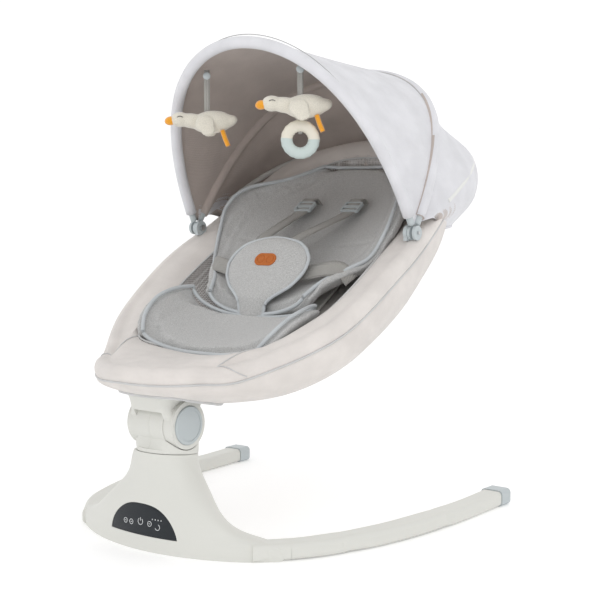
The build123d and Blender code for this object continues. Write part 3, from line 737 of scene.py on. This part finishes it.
def bow_line(lean, form, reach, start, count=72):
    return [bow_point(lean, form, reach, start + (pi - 2 * start) * k / (count - 1))
            for k in range(count)]


def panel_lines(rows, grow, steps, columns):
    """Lines across a panel from its first bow to its last, stretched flat between two bows."""
    lines = [bow_line(lean, form, reach + grow, 0.045, columns) for lean, form, reach in rows]
    knots = [[line[j] for line in lines] for j in range(columns)]
    if len(rows) == 2:
        return [[a.lerp(b, i / (steps - 1)) for a, b in knots] for i in range(steps)]
    runs = [spline(knot, steps) for knot in knots]
    return [[Vector(run[i]) for run in runs] for i in range(steps)]


def canopy_panel(name, rows, ripples):
    """Outer cloth and taupe lining of one panel, joined round their edge."""
    steps, columns = 29, 81
    points = []
    for grow in (0.0, -CLOTH_GAP):
        for i, line in enumerate(panel_lines(rows, grow, steps, columns)):
            s = i / (steps - 1)
            for j, p in enumerate(line):
                inward = (Vector((0, HINGE_Y, HINGE_Z + 60)) - p).normalized()
                wave = sin(pi * s) * (2.0 + ripples * sin(j * 0.9 + 3 * s) * cos(j * 0.23))
                points.append(p + inward * wave)
    top, bottom, edge = two_layers(steps, columns)
    looks = [0] * len(top) + [1] * len(bottom) + [0] * len(edge)
    return make_mesh(name, points, top + bottom + edge, [CANOPY, LINING], None,
                     looks)


front_panel = canopy_panel("canopy_front_cloth", FRONT_ROWS, 0.5)
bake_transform(front_panel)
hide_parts("canopy_front")
rear_panel = canopy_panel("canopy_rear_cloth", REAR_ROWS, 0.8)
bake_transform(rear_panel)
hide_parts("canopy_rear")

hem = tube("canopy_hem", bow_line(FRONT_LEAN, FRONT_FORM, 318, 0.09), 9.0, CANOPY, "front_bow",
           sides=16)
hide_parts("front_hem")
band = tube("mid_pleat", bow_line(MID_LEAN, MID_FORM, 309, 0.09), 8.6, [CANOPY, LINING],
            "mid_bow", sides=16)
HINGE = Vector((0, HINGE_Y, HINGE_Z))
for face in band.data.polygons:
    out = (face.center / MM - HINGE).normalized()
    face.material_index = 1 if face.normal.dot(out) < 0.25 else 0
for rows, row, tag in ((FRONT_ROWS, 27, "front"), (REAR_ROWS, 1, "rear")):
    tube(f"mid_seam_{tag}", panel_lines(rows, 0.3, 29, 73)[row][2:-2], 0.8, THREAD,
         "mid_bow", sides=6)
tube("hem_seam", bow_line(FRONT_LEAN + 2.2, FRONT_FORM, 325.6, 0.08), 0.7, THREAD, "front_bow",
     sides=6)
tube("lining_seam", bow_line(FRONT_LEAN + 2.6, FRONT_FORM, 313, 0.08), 1.0, LINING, "front_bow",
     sides=6)
tube("tail_hem", bow_line(TAIL_LEAN, TAIL_FORM, TAIL_REACH - 2, 0.05), 2.4, CANOPY, "seat")


def bow_socket(name, lean, form, reach, side, body):
    """Plastic sleeve that holds a bow's end in its hinge hub."""
    foot = bow_point(lean, form, reach, 0.045)
    tip = bow_point(lean, form, reach, 0.12)
    line = [Vector((side * abs(p.x), p.y, p.z)) for p in (foot.lerp(tip, k / 6)
                                                           for k in range(7))]
    tube(name, line, 5.4, CAP_GREY, body, sides=16)


for side, name in ((-1, "left"), (1, "right")):
    bow_socket(f"front_socket_{name}", FRONT_LEAN, FRONT_FORM, 318, side, "front_bow")
    bow_socket(f"mid_socket_{name}", MID_LEAN, MID_FORM, 309, side, "mid_bow")


# ---------------------------------------------------------------- hanging toys
TOY_Y, TOY_TOP = 192.0, 686.0
GOOSE_AHEAD = Vector((-cos(radians(37)), -sin(radians(37)), 0))
GOOSE_SIDE = Vector((-GOOSE_AHEAD.y, GOOSE_AHEAD.x, 0))


def blob(centre, size, turn):
    """An ellipsoid's points and faces; turn gives its three directions."""
    mesh = bmesh.new()
    bmesh.ops.create_icosphere(mesh, subdivisions=3, radius=1)
    points = [centre + sum((turn[k] * size[k] * v.co[k] for k in range(3)), Vector())
              for v in mesh.verts]
    faces = [tuple(v.index for v in f.verts) for f in mesh.faces]
    mesh.free()
    return points, faces


def plush(name, blobs, look, body, voxel=0.0022):
    """Ellipsoids melted into one stuffed form."""
    points, faces = [], []
    for centre, size, turn in blobs:
        more, their_faces = blob(centre, size, turn)
        faces += [tuple(len(points) + k for k in f) for f in their_faces]
        points += more
    piece = make_mesh(name, points, faces, look, body)
    piece.modifiers.new("remesh", "REMESH").voxel_size = voxel
    relax = piece.modifiers.new("relax", "SMOOTH")
    relax.iterations = 6
    apply_modifiers(piece)
    for face in piece.data.polygons:
        face.use_smooth = True
    return piece


def goose(name, side, centre_z, body):
    centre = Vector((side * 91, TOY_Y, centre_z))
    up = Vector((0, 0, 1))
    level = (GOOSE_AHEAD, GOOSE_SIDE, up)

    def at(ahead, across, high):
        return centre + GOOSE_AHEAD * ahead + GOOSE_SIDE * across + up * high

    def tilted(angle, roll=0.0):
        spin = Matrix.Rotation(radians(angle), 3, GOOSE_SIDE)
        lean = Matrix.Rotation(radians(roll), 3, GOOSE_AHEAD)
        return tuple(lean @ (spin @ v) for v in level)

    plush(f"{name}_body", [
        (at(-8, 0, 1), (33, 16, 18), tilted(4)),
        (at(-32, 0, 2), (16, 10, 10), tilted(16)),
        (at(24, 0, 3), (20, 11, 12), tilted(-6)),
        (at(42, 0, 5), (15, 12, 12), level)], PLUSH, body)
    for across, tag in ((-1, "near"), (1, "far")):
        plush(f"{name}_wing_{tag}", [
            (at(2, 18 * across, -2), (16, 3.8, 15), tilted(12, 20 * across)),
            (at(-4, 20 * across, -13), (12, 3.4, 9), tilted(20, 20 * across))],
            PLUSH, body)
        leg = spline([at(-24, 6 * across, -12), at(-28, 7 * across, -24),
                      at(-33, 8 * across, -36)], 14)
        tube(f"{name}_leg_{tag}", leg, 3.6, PLUSH_ORANGE, body, sides=14)
        lid = [at(41 + 4.5 * k, 11.7 * across, 8 + 1.6 * (1 - k * k)) for k in (-1, -0.5, 0, 0.5, 1)]
        tube(f"{name}_eye_{tag}", lid, 0.5, BLACK, body, sides=6)
    plush(f"{name}_beak", [(at(57, 0, 3), (9.5, 7.0, 7.2), tilted(8))], PLUSH_ORANGE, body,
          0.0014)
    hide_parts(name)


def toy_strap(name, side, bottom, body, node):
    line = [Vector((side * 91, TOY_Y, z)) for z in np.linspace(TOY_TOP, bottom, 12)]
    strap = ribbon(name, line, 9, 1.4, GOOSE_AHEAD, WEBBING, body)
    plush(f"{name}_clip", [(Vector((side * 91, TOY_Y, TOY_TOP - 9)), (6.5, 3.0, 6.5),
                            (GOOSE_AHEAD, GOOSE_SIDE, Vector((0, 0, 1))))], CAP_GREY, body,
          0.0012)
    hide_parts(node)


def teether(centre):
    """Ring to chew on: cream above, mint silicone below, ribbed on its face."""
    major, minor, around, sides = 20.0, 8.6, 72, 20
    points, looks = [], []
    for i in range(around):
        a = 2 * pi * i / around
        for j in range(sides):
            b = 2 * pi * j / sides
            r = major + (minor + 0.35 * cos(18 * a)) * cos(b)
            points.append(centre + GOOSE_AHEAD * r * cos(a) + Vector((0, 0, r * sin(a)))
                          + GOOSE_SIDE * 0.8 * minor * sin(b))
            looks.append(0 if sin(a) > 0.05 else 1)
    faces = quads(around, sides, close_rows=True, close_columns=True)
    piece = make_mesh("teether", points, faces, [CREAM_RING, SILICONE], "toy_right",
                      looks)
    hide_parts("teether_ring")
    loop = spline([(91, TOY_Y, 606), (91, TOY_Y, 594), (91, TOY_Y, 583)], 10)
    ribbon("teether_loop", loop, 7, 1.4, GOOSE_AHEAD, WEBBING, "toy_right")


goose("goose_left", -1, 605, "toy_left")
goose("goose_right", 1, 622, "toy_right")
toy_strap("toy_webbing_left", -1, 616, "toy_left", "toy_strap_left")
toy_strap("toy_webbing_right", 1, 634, "toy_right", "toy_strap_right")
teether(Vector((91, TOY_Y, 574.6)))


# ---------------------------------------------------------------- control panel signs
panel_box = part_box("control_panel")
panel_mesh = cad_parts["control_panel"]


def on_panel(x, z, lift=0.25):
    """The panel's face at a place, a little proud of it."""
    start = Vector((x * MM, panel_box[0][1] - 0.05, z * MM))
    hit, place, _, _ = panel_mesh.ray_cast(panel_mesh.matrix_world.inverted() @ start,
                                           Vector((0, 1, 0)))
    world = panel_mesh.matrix_world @ place if hit else start + Vector((0, 0.05, 0))
    return Vector((x, world.y / MM - lift, z))


def sign(name, outline):
    """A printed sign: a line of (x, z) drawn on the panel as a thin raised stroke."""
    line = [on_panel(x, z) for x, z in outline]
    tube(name, line, 0.38, ICON_WHITE, "base", sides=6)


def circle(x, z, r, first=0.0, last=360.0, count=28):
    return [(x + r * sin(radians(first + (last - first) * k / count)),
             z + r * cos(radians(first + (last - first) * k / count)))
            for k in range(count + 1)]


sign("sign_power_ring", circle(0, 41, 4.4, 35, 325))
sign("sign_power_bar", [(0, 42), (0, 46.5)])
for x, z, r, tag in ((-30, 38, 3.4, "slow"), (-18, 38, 3.4, "fast"), (17, 40, 3.4, "sound")):
    sign(f"sign_{tag}", circle(x, z, r))
    sign(f"sign_{tag}_mark", [(x - 1.3, z), (x + 1.3, z)])
sign("sign_moon", circle(31, 37, 4.0, 20, 250))
for k in range(4):
    sign(f"sign_light_{k}", circle(22 + 5 * k, 47, 0.6, count=8))


# ---------------------------------------------------------------- room, light and camera
def room():
    """Pale floor that curves up into the wall behind."""
    profile = [(-4.0, 0.0), (5.0, 0.0)]
    profile += [(5.0 + 2 * sin(radians(a)), 2 - 2 * cos(radians(a))) for a in range(6, 91, 6)]
    profile += [(7.0, 6.0)]
    across, up = Vector((cos(turn), sin(turn), 0)), Vector((0, 0, 1))
    away = Vector((-sin(turn), cos(turn), 0))
    points = [(away * y + up * z + across * x) / MM for y, z in profile for x in (-9, 9)]
    faces = quads(len(profile), 2)
    look = plastic("paper", (0.97, 0.97, 0.97), 0.7, 6.0)
    glow = look.node_tree.nodes["Principled BSDF"].inputs
    glow["Emission Color"].default_value = (1, 1, 1, 1)
    glow["Emission Strength"].default_value = 0.15
    backdrop = make_mesh("backdrop", points, faces, look, None)


turn, pitch = radians(37.174), radians(4.982)
room()
world = bpy.data.worlds.new("room")
world.use_nodes = True
world.node_tree.nodes["Background"].inputs["Color"].default_value = (1, 1, 1, 1)
world.node_tree.nodes["Background"].inputs["Strength"].default_value = 0.88
bpy.context.scene.world = world
bpy.context.scene.view_settings.view_transform = "Standard"


def lamp(name, place, aim, size, watts):
    light = bpy.data.lights.new(name, "AREA")
    light.size, light.energy = size, watts
    holder = bpy.data.objects.new(name, light)
    holder.location = place
    holder.rotation_euler = (Vector(aim) - Vector(place)).to_track_quat("-Z", "Y").to_euler()
    bpy.context.scene.collection.objects.link(holder)


lamp("key", (1.6, -1.6, 2.4), (0, 0.1, 0.35), 1.8, 13)
lamp("fill", (-2.0, -1.2, 1.6), (0, 0.1, 0.4), 2.0, 2)
lamp("rim", (0.4, 2.4, 2.2), (0, 0.2, 0.4), 1.6, 4)

camera_data = bpy.data.cameras.new("camera")
camera_data.lens, camera_data.sensor_width = 74.46, 36.0
camera = bpy.data.objects.new("camera", camera_data)
bpy.context.scene.collection.objects.link(camera)
bpy.context.scene.camera = camera
camera.location = (1.2010, -1.2725, 0.4980)
looking = Vector((-sin(turn) * cos(pitch), cos(turn) * cos(pitch), -sin(pitch)))
camera.rotation_euler = looking.to_track_quat("-Z", "Y").to_euler()
